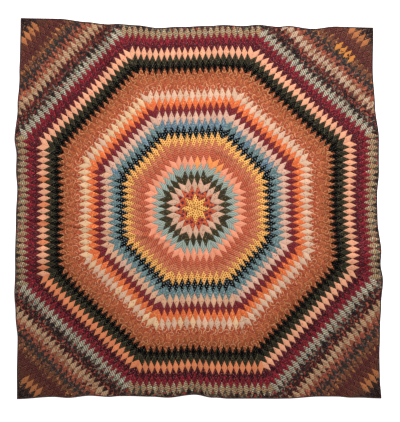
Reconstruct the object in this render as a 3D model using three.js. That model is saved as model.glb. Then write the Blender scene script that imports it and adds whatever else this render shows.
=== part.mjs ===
// Sunburst quilt, laid out flat with its star side up.
//
// The pieced top is a sunburst: eight wedges of 45 degree diamonds meet in a star at the middle, and
// row after row of diamonds makes octagons round it, until the cloth is cut square. Top, wadding and
// backing are quilted together into one soft sheet, so they are one solid here. Its edge waves, a few
// low folds run in from the edge, and a narrow binding in four mitred strips wraps the raw edge.
//
// Units are millimetres. +Z is up and +Y is the quilt's top edge.

import * as THREE from 'three';
import { mergeVertices } from 'three/addons/utils/BufferGeometryUtils.js';

// The pieced top
const wedges = 8;
const diamondSide = 44.5; // 1 3/4 in
const halfPoint = Math.PI / wedges; // half of a diamond's sharp angle
const rowPitch = diamondSide * Math.cos(halfPoint); // from one row of diamonds to the next
const rowsToEdge = { left: 25, right: 25, top: 25, bottom: 25.3 }; // the square cut is a little uneven
const cellSide = 2 * diamondSide; // one raised cell of the quilting takes two diamonds by two

// Thickness of the quilted sheet
const seamThick = 3; // where the layers are sewn down
const puffRise = 2.4; // how far the wadding stands up in the middle of a cell

// The edge: a flat margin under the binding, then a band that joins it to the quilted field
const marginWidth = 10;
const bandWidth = 36;
const edgeLift = 1.2; // the binding passes under the edge and lifts it
const stationsPerSide = 40;

// The binding: a strip folded over the raw edge
const binding = { front: 6, cloth: 0.9, outer: 1.2, gap: 0.3, fold: 0.6, mitreGap: 0.25 };

// Where the four corners lie, measured from the middle of the star
const corners = {
  topLeft: new THREE.Vector2(-985, 1074),
  topRight: new THREE.Vector2(1004, 1020),
  bottomRight: new THREE.Vector2(1050, -1072),
  bottomLeft: new THREE.Vector2(-1006, -1076),
};

// How far each edge stands out from the straight line between its corners. `along` runs from left to
// right, or from top to bottom, and a negative `out` is a place where the edge draws in.
const edgeWaves = {
  top: [
    { along: 0.0, out: 0 },
    { along: 0.11, out: 2 },
    { along: 0.19, out: -12 },
    { along: 0.25, out: -25 },
    { along: 0.28, out: -18 },
    { along: 0.33, out: -22 },
    { along: 0.39, out: -34 },
    { along: 0.45, out: -25 },
    { along: 0.53, out: -15 },
    { along: 0.58, out: -7 },
    { along: 0.63, out: -10 },
    { along: 0.68, out: -2 },
    { along: 0.73, out: -9 },
    { along: 0.76, out: -4 },
    { along: 0.83, out: -16 },
    { along: 0.9, out: 0 },
    { along: 1.0, out: 0 },
  ],
  bottom: [
    { along: 0.0, out: 0 },
    { along: 0.1, out: -12 },
    { along: 0.14, out: -7 },
    { along: 0.2, out: -18 },
    { along: 0.25, out: -12 },
    { along: 0.28, out: -18 },
    { along: 0.37, out: -12 },
    { along: 0.41, out: -7 },
    { along: 0.49, out: -23 },
    { along: 0.54, out: -7 },
    { along: 0.58, out: 0 },
    { along: 0.74, out: 0 },
    { along: 0.83, out: -11 },
    { along: 0.88, out: -11 },
    { along: 0.92, out: -6 },
    { along: 1.0, out: 0 },
  ],
  left: [
    { along: 0.0, out: 0 },
    { along: 0.15, out: 3 },
    { along: 0.235, out: 12 },
    { along: 0.315, out: 27 },
    { along: 0.36, out: 16 },
    { along: 0.4, out: 18 },
    { along: 0.45, out: 10 },
    { along: 0.52, out: 16 },
    { along: 0.65, out: 16 },
    { along: 0.715, out: 20 },
    { along: 0.78, out: 13 },
    { along: 0.84, out: 0 },
    { along: 0.92, out: 2 },
    { along: 1.0, out: 0 },
  ],
  right: [
    { along: 0.0, out: 0 },
    { along: 0.12, out: -8 },
    { along: 0.21, out: 0 },
    { along: 0.3, out: 17 },
    { along: 0.38, out: 14 },
    { along: 0.46, out: 0 },
    { along: 0.52, out: 0 },
    { along: 0.6, out: 15 },
    { along: 0.635, out: 10 },
    { along: 0.68, out: 23 },
    { along: 0.74, out: 10 },
    { along: 0.82, out: 0 },
    { along: 0.89, out: -6 },
    { along: 0.95, out: -6 },
    { along: 1.0, out: 0 },
  ],
};
const waveFade = 3; // power by which an edge's waves die away towards the opposite edge

// The star sits a little off the middle of the cloth. Its rows are turned anticlockwise, the level ones
// more than the upright ones, and opened out round it.
const middle = { shift: [-14, 6.5], turn: [0.0245, 0.03], opened: [0.032, 0.044] };

// Low folds that start at an edge and die away inwards: place along the edge, how far they reach in,
// width across the crest and height of the crest at the edge
const folds = [
  { edge: 'top', along: 0.265, reach: 420, width: 180, height: 26 },
  { edge: 'top', along: 0.45, reach: 220, width: 190, height: 5 },
  { edge: 'top', along: 0.68, reach: 300, width: 150, height: 12 },
  { edge: 'top', along: 0.78, reach: 260, width: 160, height: 8 },
  { edge: 'top', along: 0.875, reach: 340, width: 220, height: 15 },
  { edge: 'bottom', along: 0.14, reach: 260, width: 180, height: 6 },
  { edge: 'bottom', along: 0.275, reach: 340, width: 190, height: 18 },
  { edge: 'bottom', along: 0.42, reach: 260, width: 150, height: 7 },
  { edge: 'bottom', along: 0.515, reach: 850, width: 170, height: 16 },
  { edge: 'bottom', along: 0.7, reach: 300, width: 200, height: 7 },
  { edge: 'bottom', along: 0.91, reach: 300, width: 190, height: 13 },
  { edge: 'left', along: 0.13, reach: 190, width: 110, height: 8 },
  { edge: 'left', along: 0.21, reach: 220, width: 120, height: 9 },
  { edge: 'left', along: 0.315, reach: 260, width: 190, height: 9 },
  { edge: 'left', along: 0.61, reach: 520, width: 300, height: 20 },
  { edge: 'left', along: 0.72, reach: 300, width: 150, height: 9 },
  { edge: 'left', along: 0.81, reach: 220, width: 140, height: 6 },
  { edge: 'right', along: 0.3, reach: 240, width: 200, height: 7 },
  { edge: 'right', along: 0.42, reach: 260, width: 80, height: 4 },
  { edge: 'right', along: 0.63, reach: 420, width: 210, height: 19 },
  { edge: 'right', along: 0.73, reach: 260, width: 140, height: 9 },
];

// The flat pieced top, as cut, measured from the middle of the star
const cut = {
  left: -rowsToEdge.left * rowPitch,
  right: rowsToEdge.right * rowPitch,
  bottom: -rowsToEdge.bottom * rowPitch,
  top: rowsToEdge.top * rowPitch,
};

const smooth = (t) => t * t * (3 - 2 * t);

function waveOut(waves, along) {
  const last = waves.findIndex((row, i) => i > 0 && along <= row.along);
  const to = waves[last < 0 ? waves.length - 1 : last];
  const from = waves[(last < 0 ? waves.length - 1 : last) - 1];
  const t = THREE.MathUtils.clamp((along - from.along) / (to.along - from.along), 0, 1);
  return from.out + (to.out - from.out) * smooth(t);
}

// Shares of the way across the flat top from the left edge, and down it from the top edge
function sharesOf(x, y) {
  return {
    fromLeft: (x - cut.left) / (cut.right - cut.left),
    fromTop: (cut.top - y) / (cut.top - cut.bottom),
  };
}

// How far the piecing is shifted, turned and opened at a point of the flat top
function drawnInside(x, y, left, up) {
  const right = 1 - left;
  const down = 1 - up;
  const across = 4 * left * right; // 1 half way across, 0 at the left and right edges
  const along = 4 * up * down;
  const { shift, turn, opened } = middle;
  return new THREE.Vector2(
    across * (shift[0] - turn[0] * y + along * opened[0] * x),
    along * (shift[1] + turn[1] * x + across * opened[1] * y),
  );
}

// Where a point of the flat top lies once the quilt is spread out, seen from above. The piecing slides
// along inside the wavy outline, so the waves are looked up where the point has moved to.
function laidAt(x, y) {
  const { fromLeft: right, fromTop: down } = sharesOf(x, y);
  const left = 1 - right;
  const up = 1 - down;
  const move = drawnInside(x, y, left, up);
  const slidRight = THREE.MathUtils.clamp(right + move.x / (cut.right - cut.left), 0, 1);
  const slidDown = THREE.MathUtils.clamp(down - move.y / (cut.top - cut.bottom), 0, 1);
  const place = new THREE.Vector2()
    .addScaledVector(corners.topLeft, left * up)
    .addScaledVector(corners.topRight, right * up)
    .addScaledVector(corners.bottomRight, right * down)
    .addScaledVector(corners.bottomLeft, left * down)
    .add(move);
  place.x += waveOut(edgeWaves.right, slidDown) * right ** waveFade;
  place.x -= waveOut(edgeWaves.left, slidDown) * left ** waveFade;
  place.y += waveOut(edgeWaves.top, slidRight) * up ** waveFade;
  place.y -= waveOut(edgeWaves.bottom, slidRight) * down ** waveFade;
  return place;
}

// How high the folds carry the underside at a point of the flat top
function foldHeight(x, y) {
  const { fromLeft, fromTop } = sharesOf(x, y);
  const width = cut.right - cut.left;
  const height = cut.top - cut.bottom;
  const placeFrom = {
    top: { depth: fromTop * height, along: fromLeft, length: width },
    bottom: { depth: (1 - fromTop) * height, along: fromLeft, length: width },
    left: { depth: fromLeft * width, along: fromTop, length: height },
    right: { depth: (1 - fromLeft) * width, along: fromTop, length: height },
  };
  let sum = 0;
  for (const fold of folds) {
    const { depth, along, length } = placeFrom[fold.edge];
    const across = Math.abs(along - fold.along) * length;
    if (across >= fold.width / 2 || depth >= fold.reach) continue;
    const profile = Math.cos((Math.PI * across) / fold.width) ** 2;
    sum += fold.height * profile * smooth(1 - depth / fold.reach);
  }
  return sum;
}

// The part of a convex polygon inside one straight side of the field. Points are [x, y, puff].
function clipTo(polygon, inside) {
  const kept = [];
  polygon.forEach((point, i) => {
    const next = polygon[(i + 1) % polygon.length];
    const here = inside(point);
    const there = inside(next);
    if (here >= 0) kept.push(point);
    if (here * there < 0) {
      const t = here / (here - there);
      kept.push(point.map((value, k) => value + (next[k] - value) * t));
    }
  });
  return kept;
}

// A mesh under construction: points are merged by place, so that neighbours share them
class Surface {
  constructor() {
    this.points = [];
    this.faces = [];
    this.known = new Map();
  }

  point(x, y, puff) {
    const key = `${x.toFixed(2)},${y.toFixed(2)}`;
    if (!this.known.has(key)) {
      this.known.set(key, this.points.length);
      this.points.push([x, y, puff]);
    }
    return this.known.get(key);
  }

  face(a, b, c) {
    if (a !== b && b !== c && c !== a) this.faces.push([a, b, c]);
  }
}

// The quilted field: every cell of the eight wedges, clipped to a rectangle inside the cut edge.
// With `raised`, each cell has a high point in its middle.
function quiltedField(field, raised) {
  const surface = new Surface();
  const sides = [
    (p) => p[0] - field.left,
    (p) => field.right - p[0],
    (p) => p[1] - field.bottom,
    (p) => field.top - p[1],
  ];
  const longest = Math.hypot(field.right - field.left, field.top - field.bottom);
  const cellsOut = Math.ceil(longest / 2 / cellSide);
  for (let wedge = 0; wedge < wedges; wedge++) {
    const axis = wedge * 2 * halfPoint;
    const right = new THREE.Vector2(Math.cos(axis - halfPoint), Math.sin(axis - halfPoint));
    const left = new THREE.Vector2(Math.cos(axis + halfPoint), Math.sin(axis + halfPoint));
    const corner = (i, j, puff = 0) => [
      cellSide * (i * right.x + j * left.x),
      cellSide * (i * right.y + j * left.y),
      puff,
    ];
    for (let i = 0; i < cellsOut; i++) {
      for (let j = 0; j < cellsOut; j++) {
        const ring = [corner(i, j), corner(i + 1, j), corner(i + 1, j + 1), corner(i, j + 1)];
        const high = corner(i + 0.5, j + 0.5, puffRise);
        const pieces = raised
          ? ring.map((point, k) => [point, ring[(k + 1) % 4], high])
          : [[ring[0], ring[1], ring[2]], [ring[0], ring[2], ring[3]]];
        for (const piece of pieces) {
          const kept = sides.reduce((polygon, side) => clipTo(polygon, side), piece);
          const ids = kept.map((p) => surface.point(...p));
          for (let k = 1; k + 1 < ids.length; k++) surface.face(ids[0], ids[k], ids[k + 1]);
        }
      }
    }
  }
  return surface;
}

// Fills the band between two lines of points that run the same way, the field's side and the margin's.
// `shares` says how far along its line each point is.
function joinLines(surface, inner, outer, shares) {
  let i = 0;
  let j = 0;
  while (i + 1 < inner.length || j + 1 < outer.length) {
    const innerNext = i + 1 < inner.length ? shares.get(inner[i + 1]) : Infinity;
    const outerNext = j + 1 < outer.length ? shares.get(outer[j + 1]) : Infinity;
    if (innerNext <= outerNext) {
      surface.face(inner[i], outer[j], inner[i + 1]);
      i += 1;
    } else {
      surface.face(inner[i], outer[j], outer[j + 1]);
      j += 1;
    }
  }
}

const inset = (box, by) => ({
  left: box.left + by,
  right: box.right - by,
  bottom: box.bottom + by,
  top: box.top - by,
});

// The four sides of a box, anticlockwise from its bottom left corner
const boxSides = (box) => [
  { name: 'bottom', from: [box.left, box.bottom], to: [box.right, box.bottom] },
  { name: 'right', from: [box.right, box.bottom], to: [box.right, box.top] },
  { name: 'top', from: [box.right, box.top], to: [box.left, box.top] },
  { name: 'left', from: [box.left, box.top], to: [box.left, box.bottom] },
];

const between = (from, to, t) => [from[0] + (to[0] - from[0]) * t, from[1] + (to[1] - from[1]) * t];

// Stations round the cut edge, anticlockwise from the bottom left corner: where each one lies, which
// way is outwards there (longer at a corner, for the mitre) and how high the folds carry it
function edgeStations() {
  const flat = boxSides(cut).flatMap(({ from, to }) =>
    Array.from({ length: stationsPerSide }, (_, s) => between(from, to, s / stationsPerSide)),
  );
  const laid = flat.map((point) => laidAt(...point));
  const count = laid.length;
  return laid.map((place, k) => {
    const before = place.clone().sub(laid[(k - 1 + count) % count]).normalize();
    const after = laid[(k + 1) % count].clone().sub(place).normalize();
    const outBefore = new THREE.Vector2(before.y, -before.x);
    const outAfter = new THREE.Vector2(after.y, -after.x);
    const out = outBefore.clone().add(outAfter).divideScalar(1 + outBefore.dot(outAfter));
    return { place, before, after, out, lift: foldHeight(...flat[k]) };
  });
}

// A point at a distance inwards or outwards of a station, at a height over its fold
function nearStation({ place, out, lift }, distance, z) {
  return new THREE.Vector3(place.x + out.x * distance, place.y + out.y * distance, lift + z);
}

// One layer of the sheet, top or underside: the quilted field, the band round it and the margin.
// Returns its vertices and faces, and the vertices along the cut edge.
function sheetLayer(stations, raised) {
  const field = inset(cut, marginWidth + bandWidth);
  const surface = quiltedField(field, raised);
  const base = raised ? seamThick : 0;
  const vertices = surface.points.map(([x, y, puff]) => {
    const place = laidAt(x, y);
    return new THREE.Vector3(place.x, place.y, foldHeight(x, y) + base + puff);
  });
  const margin = stations.map((_, k) => vertices.length + k);
  vertices.push(...stations.map((station) => nearStation(station, -marginWidth, base + edgeLift)));
  const edge = stations.map((_, k) => vertices.length + k);
  vertices.push(...stations.map((station) => nearStation(station, 0, base + edgeLift)));
  boxSides(field).forEach(({ from, to }, side) => {
    const run = new THREE.Vector2(to[0] - from[0], to[1] - from[1]);
    const shares = new Map();
    surface.points.forEach(([x, y], id) => {
      const point = new THREE.Vector2(x - from[0], y - from[1]);
      if (Math.abs(point.cross(run)) < 1e-2 * run.length()) shares.set(id, point.dot(run) / run.lengthSq());
    });
    const inner = [...shares.keys()].sort((a, b) => shares.get(a) - shares.get(b));
    const outer = [];
    for (let s = 0; s <= stationsPerSide; s++) {
      const id = margin[(side * stationsPerSide + s) % stations.length];
      outer.push(id);
      shares.set(id, s / stationsPerSide);
    }
    joinLines(surface, inner, outer, shares);
  });
  margin.forEach((id, k) => {
    const next = (k + 1) % stations.length;
    surface.face(id, edge[k], edge[next]);
    surface.face(id, edge[next], margin[next]);
  });
  return { vertices, faces: surface.faces, edge };
}

// The quilted sheet as one closed solid
function makeQuilt(stations) {
  const top = sheetLayer(stations, true);
  const under = sheetLayer(stations, false);
  const shift = top.vertices.length;
  const faces = [...top.faces, ...under.faces.map(([a, b, c]) => [shift + a, shift + c, shift + b])];
  top.edge.forEach((a, k) => {
    const next = (k + 1) % top.edge.length;
    const [b, c, d] = [top.edge[next], shift + under.edge[k], shift + under.edge[next]];
    faces.push([a, c, d], [a, d, b]);
  });
  return closedGeometry([...top.vertices, ...under.vertices], faces);
}

function closedGeometry(vertices, faces) {
  const geometry = new THREE.BufferGeometry().setFromPoints(vertices);
  geometry.setIndex(faces.flat());
  return mergeVertices(geometry, 1e-4);
}

// The binding's section, from the tip of its lower lip round the fold to the tip of its upper lip and
// back along the inside: `out` is outwards from the cut edge, `z` is up from the floor
function bindingSection() {
  const { front, cloth, outer, gap, fold } = binding;
  const insideLow = edgeLift - gap;
  const insideHigh = edgeLift + seamThick + gap;
  const high = insideHigh + cloth;
  return [
    { out: -front, z: 0 },
    { out: outer - fold, z: 0 },
    { out: outer, z: fold },
    { out: outer, z: high - fold },
    { out: outer - fold, z: high },
    { out: -front, z: high },
    { out: -front, z: insideHigh },
    { out: gap, z: insideHigh },
    { out: gap, z: insideLow },
    { out: -front, z: insideLow },
  ];
}

// One strip of the binding, mitred at both ends, along one side of the cut edge
function makeBindingStrip(stations, side) {
  const section = bindingSection();
  const vertices = [];
  for (let s = 0; s <= stationsPerSide; s++) {
    const station = stations[(side * stationsPerSide + s) % stations.length];
    const nudge = new THREE.Vector3();
    if (s === 0) nudge.set(station.after.x, station.after.y, 0).multiplyScalar(binding.mitreGap);
    if (s === stationsPerSide) nudge.set(-station.before.x, -station.before.y, 0).multiplyScalar(binding.mitreGap);
    for (const { out, z } of section) vertices.push(nearStation(station, out, z).add(nudge));
  }
  const faces = [];
  const count = section.length;
  for (let s = 0; s < stationsPerSide; s++) {
    for (let k = 0; k < count; k++) {
      const a = s * count + k;
      const b = s * count + ((k + 1) % count);
      faces.push([a, a + count, b + count], [a, b + count, b]);
    }
  }
  const outline = section.map(({ out, z }) => new THREE.Vector2(out, z));
  const last = stationsPerSide * count;
  for (const [a, b, c] of THREE.ShapeUtils.triangulateShape(outline, [])) {
    faces.push([a, b, c], [last + a, last + c, last + b]);
  }
  return closedGeometry(vertices, faces);
}

const patchwork = new THREE.MeshStandardMaterial({ color: 0xa9603f, roughness: 0.9, metalness: 0 });
const darkCotton = new THREE.MeshStandardMaterial({ color: 0x2b1e1c, roughness: 0.88, metalness: 0 });

const group = new THREE.Group();
const stations = edgeStations();
const quilt = new THREE.Mesh(makeQuilt(stations), patchwork);
quilt.name = 'quilt';
group.add(quilt);
boxSides(cut).forEach(({ name }, side) => {
  const strip = new THREE.Mesh(makeBindingStrip(stations, side), darkCotton);
  strip.name = `binding_${name}`;
  group.add(strip);
});

// The origin is on the floor under the middle of the whole quilt
const extent = new THREE.Box3().setFromObject(group);
const centre = extent.getCenter(new THREE.Vector3());
group.position.set(-centre.x, -centre.y, -extent.min.z);

export default group;
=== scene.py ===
# %% [markdown]
# This notebook dresses a sunburst quilt that lies spread out flat, seen from straight above. The
# frame loaded here holds the quilt's plain solids at their real size: one quilted sheet and the four
# strips of its binding. Everything made below lies in their place, in metres, with +Z up and +Y
# towards the quilt's top edge.

# %% Load the frame
import math

import bpy
import numpy as np
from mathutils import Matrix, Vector


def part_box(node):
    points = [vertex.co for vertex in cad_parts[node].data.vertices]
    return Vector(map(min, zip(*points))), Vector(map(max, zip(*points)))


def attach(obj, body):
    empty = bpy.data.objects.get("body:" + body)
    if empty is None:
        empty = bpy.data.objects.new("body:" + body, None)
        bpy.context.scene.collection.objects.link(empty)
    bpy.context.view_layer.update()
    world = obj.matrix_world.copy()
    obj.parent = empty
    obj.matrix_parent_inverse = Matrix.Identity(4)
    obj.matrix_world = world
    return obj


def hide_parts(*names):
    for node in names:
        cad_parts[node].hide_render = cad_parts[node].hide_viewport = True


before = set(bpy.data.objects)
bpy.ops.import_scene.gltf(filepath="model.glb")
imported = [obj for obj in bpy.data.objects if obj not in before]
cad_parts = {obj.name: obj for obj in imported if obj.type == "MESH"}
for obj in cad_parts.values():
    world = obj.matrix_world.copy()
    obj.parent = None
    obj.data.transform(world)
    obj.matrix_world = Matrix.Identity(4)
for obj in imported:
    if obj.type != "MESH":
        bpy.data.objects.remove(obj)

MM = 0.001
FULL_TURN = 2 * math.pi
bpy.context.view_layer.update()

# %% [markdown]
# The camera comes first, because it decides which details matter. The quilt was photographed from
# straight above, so the camera hangs high over it with a long lens, which keeps all parts at the same
# scale. The lens is worked out from the width of cloth that the picture takes in.

# %% Camera
PICTURE_WIDTH = 2.258  # metres of floor across the picture
PICTURE_MIDDLE = (0.0265, -0.0150)  # from the middle of the star to the middle of the picture
CAMERA_HEIGHT = 7.0
SENSOR_WIDTH = 36.0  # millimetres, Blender's usual one


def add_camera(star):
    """Hangs the camera over the quilt. `star` is where the middle of the star lies."""
    data = bpy.data.cameras.new("overhead_camera")
    data.sensor_fit = "HORIZONTAL"
    data.sensor_width = SENSOR_WIDTH
    data.lens = SENSOR_WIDTH * CAMERA_HEIGHT / PICTURE_WIDTH
    camera = bpy.data.objects.new("overhead_camera", data)
    camera.location = (star[0] + PICTURE_MIDDLE[0], star[1] + PICTURE_MIDDLE[1], CAMERA_HEIGHT)
    bpy.context.collection.objects.link(camera)
    bpy.context.scene.camera = camera
    print("lens, mm:", round(data.lens, 1))


# %% [markdown]
# A sunburst is pieced from one diamond. Eight of them meet point to point in a star, so the sharp
# angle is 45 degrees, and each further row adds one diamond to each of the eight wedges. The sizes
# below are those of the solids, in the maker's own units, turned into metres.

# %% Sizes of the piecing
WEDGES = 8
DIAMOND_SIDE = 44.5 * MM
HALF_POINT = math.pi / WEDGES
HALF_LONG = DIAMOND_SIDE * math.cos(HALF_POINT)  # half of a diamond's long diagonal
HALF_SHORT = DIAMOND_SIDE * math.sin(HALF_POINT)
ROW_PITCH = HALF_LONG
ROWS_TO_EDGE = {"left": 25, "right": 25, "top": 25, "bottom": 25.3}
CUT_LOW = -ROW_PITCH * np.array([ROWS_TO_EDGE["left"], ROWS_TO_EDGE["bottom"]])
CUT_HIGH = ROW_PITCH * np.array([ROWS_TO_EDGE["right"], ROWS_TO_EDGE["top"]])
CUT_SIZE = CUT_HIGH - CUT_LOW
print("cut size of the pieced top, metres:", CUT_SIZE.round(3))

# %% [markdown]
# Cloth that is laid out by hand never lies square. Four corner places, measured from the middle of
# the star, and for each edge a short table of how far it stands out or draws in from the straight
# line between them, give the outline. Both are in millimetres. Inside, the waves of an edge die away
# towards the opposite one. The piecing is also turned and opened out a little.

# %% How the quilt lies, seen from above
CORNERS = {
    "top_left": (-985, 1074),
    "top_right": (1004, 1020),
    "bottom_right": (1050, -1072),
    "bottom_left": (-1006, -1076),
}
EDGE_WAVES = {  # share of the edge from its left or top end, and how far it stands out
    "top": [
        (0.0, 0), (0.11, 2), (0.19, -12), (0.25, -25), (0.28, -18), (0.33, -22), (0.39, -34),
        (0.45, -25), (0.53, -15), (0.58, -7), (0.63, -10), (0.68, -2), (0.73, -9), (0.76, -4),
        (0.83, -16), (0.9, 0), (1.0, 0),
    ],
    "bottom": [
        (0.0, 0), (0.1, -12), (0.14, -7), (0.2, -18), (0.25, -12), (0.28, -18), (0.37, -12),
        (0.41, -7), (0.49, -23), (0.54, -7), (0.58, 0), (0.74, 0), (0.83, -11), (0.88, -11),
        (0.92, -6), (1.0, 0),
    ],
    "left": [
        (0.0, 0), (0.15, 3), (0.235, 12), (0.315, 27), (0.36, 16), (0.4, 18), (0.45, 10),
        (0.52, 16), (0.65, 16), (0.715, 20), (0.78, 13), (0.84, 0), (0.92, 2), (1.0, 0),
    ],
    "right": [
        (0.0, 0), (0.12, -8), (0.21, 0), (0.3, 17), (0.38, 14), (0.46, 0), (0.52, 0), (0.6, 15),
        (0.635, 10), (0.68, 23), (0.74, 10), (0.82, 0), (0.89, -6), (0.95, -6), (1.0, 0),
    ],
}
WAVE_FADE = 3
SHIFT = (-14, 6.5)  # the star lies a little off the middle of the cloth
TURN = (0.0245, 0.030)  # its rows are turned anticlockwise, the level ones more than the upright ones
OPENED = (0.032, 0.044)  # and opened out round it


def smooth(t):
    return t * t * (3 - 2 * t)


def stands_out(edge, share):
    """How far an edge stands out at shares of its length, eased between the rows of its table."""
    places, outs = np.array(EDGE_WAVES[edge]).T
    after = np.clip(np.searchsorted(places, share), 1, len(places) - 1)
    way = np.clip((share - places[after - 1]) / (places[after] - places[after - 1]), 0, 1)
    return outs[after - 1] + (outs[after] - outs[after - 1]) * smooth(way)


def cut_shares(flat):
    """How far across and up the cut flat points lie, from 0 to 1."""
    return ((flat - CUT_LOW) / CUT_SIZE).T


def drawn_inside(flat, left, up):
    """How far the piecing is shifted, turned and opened at flat points, in millimetres."""
    right, down = 1 - left, 1 - up
    x, y = flat.T / MM
    across, along = 4 * left * right, 4 * up * down
    move_x = across * (SHIFT[0] - TURN[0] * y + along * OPENED[0] * x)
    move_y = along * (SHIFT[1] + TURN[1] * x + across * OPENED[1] * y)
    return move_x, move_y


def laid_from_star(flat):
    """Where points of the flat pieced top lie when the quilt is spread out, from the star's middle."""
    right, up = cut_shares(flat)
    left, down = 1 - right, 1 - up
    corner = {name: np.array(place) for name, place in CORNERS.items()}
    place = (
        np.outer(left * up, corner["top_left"])
        + np.outer(right * up, corner["top_right"])
        + np.outer(right * down, corner["bottom_right"])
        + np.outer(left * down, corner["bottom_left"])
    )
    move_x, move_y = drawn_inside(flat, left, up)
    share_right = np.clip(right + move_x * MM / CUT_SIZE[0], 0, 1)
    share_down = np.clip(down - move_y * MM / CUT_SIZE[1], 0, 1)
    waves_x = (
        stands_out("right", share_down) * right**WAVE_FADE
        - stands_out("left", share_down) * left**WAVE_FADE
    )
    waves_y = (
        stands_out("top", share_right) * up**WAVE_FADE
        - stands_out("bottom", share_right) * down**WAVE_FADE
    )
    return (place + np.column_stack([move_x + waves_x, move_y + waves_y])) * MM


# %% [markdown]
# The solids stand with their middle over the origin, and the corners above are measured from the
# star. The cloth's own left and bottom edges show how far the two lie apart, so the star's place is
# worked out from the frame and not typed in.

# %% Place of the star
EDGE_SAMPLES = 4001
along = np.linspace(0, 1, EDGE_SAMPLES)
left_edge = np.stack([np.full(EDGE_SAMPLES, CUT_LOW[0]), CUT_LOW[1] + along * CUT_SIZE[1]], axis=1)
bottom_edge = np.stack([CUT_LOW[0] + along * CUT_SIZE[0], np.full(EDGE_SAMPLES, CUT_LOW[1])], axis=1)
quilt_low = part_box("quilt")[0]
STAR = np.array([
    quilt_low.x - laid_from_star(left_edge)[:, 0].min(),
    quilt_low.y - laid_from_star(bottom_edge)[:, 1].min(),
])
print("the star's middle, metres:", STAR.round(4))
add_camera(STAR)

# %% [markdown]
# Low folds run in from the edges and die away. Each has its place along an edge, how far it reaches,
# its width and the height of its crest, in millimetres, as in the solids. They are what the light
# catches near the edges, so the scene needs the same ones. A few sharper creases, left from lying
# folded up, are raised in the pieced face only.

# %% Folds, creases, thickness and hand wobble
FOLDS = [  # edge, share along it, reach, width, height
    ("top", 0.265, 420, 180, 26),
    ("top", 0.45, 220, 190, 5),
    ("top", 0.68, 300, 150, 12),
    ("top", 0.78, 260, 160, 8),
    ("top", 0.875, 340, 220, 15),
    ("bottom", 0.14, 260, 180, 6),
    ("bottom", 0.275, 340, 190, 18),
    ("bottom", 0.42, 260, 150, 7),
    ("bottom", 0.515, 850, 170, 16),
    ("bottom", 0.7, 300, 200, 7),
    ("bottom", 0.91, 300, 190, 13),
    ("left", 0.13, 190, 110, 8),
    ("left", 0.21, 220, 120, 9),
    ("left", 0.315, 260, 190, 9),
    ("left", 0.61, 520, 300, 20),
    ("left", 0.72, 300, 150, 9),
    ("left", 0.81, 220, 140, 6),
    ("right", 0.3, 240, 200, 7),
    ("right", 0.42, 260, 80, 4),
    ("right", 0.63, 420, 210, 19),
    ("right", 0.73, 260, 140, 9),
]
CREASES = [  # from, to, height, reach to either side: from the star's middle, as laid
    ((-1000, -47), (-140, -179), 4, 17),
    ((-1000, 360), (-792, 301), 3, 17),
    ((-792, 301), (-540, 92), 3, 17),
    ((250, -545), (535, -303), 3, 17),
    ((110, 330), (290, 250), 3, 17),
    ((710, 130), (1010, 125), 3, 17),
    ((-466, 955), (-476, 835), 10, 34),
]
SEAM_THICKNESS = 3 * MM  # top, wadding and backing where they are sewn down
EDGE_LIFT = 1.2 * MM  # the binding passes under the edge
MARGIN = 10 * MM
BAND = 36 * MM
WOBBLE = 1.1 * MM  # how far hand sewing strays from a straight line
WOBBLE_LENGTHS = (310 * MM, 170 * MM)


def edge_distances(flat):
    """Distances from flat points to the cut's left, right, bottom and top edges."""
    low, high = (flat - CUT_LOW).T, (CUT_HIGH - flat).T
    return {"left": low[0], "right": high[0], "bottom": low[1], "top": high[1]}


def nearest_edge(flat):
    return np.minimum.reduce(list(edge_distances(flat).values()))


def fold_height(flat):
    right, up = cut_shares(flat)
    depth = edge_distances(flat)
    height = np.zeros(len(flat))
    for edge, share, reach, width, crest in FOLDS:
        if edge in ("top", "bottom"):
            across = np.abs(right - share) * CUT_SIZE[0]
        else:
            across = np.abs(1 - up - share) * CUT_SIZE[1]
        profile = np.cos(np.pi * np.clip(across / (width * MM), 0, 0.5)) ** 2
        height += crest * MM * profile * smooth(1 - np.clip(depth[edge] / (reach * MM), 0, 1))
    return height


def crease_height(place):
    """Height of the creases at places measured from the star's middle."""
    height = np.zeros(len(place))
    for start, end, crest, reach in CREASES:
        start, run = np.array(start) * MM, (np.array(end) - start) * MM
        share = np.clip((place - start) @ run / (run @ run), 0, 1)
        away = np.linalg.norm(place - start - np.outer(share, run), axis=1)
        height = np.maximum(height, crest * MM * smooth(np.clip(1 - away / (reach * MM), 0, 1)))
    return height


def edge_rise(flat):
    """How far the binding under the edge lifts the sheet."""
    return EDGE_LIFT * np.clip((MARGIN + BAND - nearest_edge(flat)) / BAND, 0, 1)


def wobbled(flat):
    """Moves flat points a little, smoothly, as the lines of a hand-sewn top wander."""
    right, up = cut_shares(flat)
    inside = np.clip(64 * right * (1 - right) * up * (1 - up), 0, 1)
    x, y = flat.T
    long, short = (FULL_TURN / length for length in WOBBLE_LENGTHS)
    move = np.stack([
        np.sin(long * y + 1.3) + 0.6 * np.sin(short * (x + 0.7 * y)),
        np.sin(long * x + 4.1) + 0.6 * np.sin(short * (y - 0.8 * x) + 2.0),
    ], axis=1)
    return flat + WOBBLE * move * inside[:, None]


def lay(flat, above, creased=True):
    """Places of points that are `above` the underside of the flat quilt, once it is spread out."""
    place = laid_from_star(wobbled(flat))
    height = fold_height(flat) + edge_rise(flat) + above
    if creased:
        height += crease_height(place)
    return np.column_stack([place + STAR, height])


# %% [markdown]
# One diamond is modelled once and then copied. It starts as a square grid, which is turned to
# stand on a corner and drawn out to 45 degrees. The rings of its grid are then moved and lifted
# one by one: the cloth rises steeply from the seam, dips again where it is quilted a quarter inch
# inside the seam, and puffs up in the middle.

# %% Helpers for meshes
def deselect():
    bpy.ops.object.select_all(action="DESELECT")


def make_active(obj):
    deselect()
    bpy.context.view_layer.objects.active = obj
    obj.select_set(True)


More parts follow.
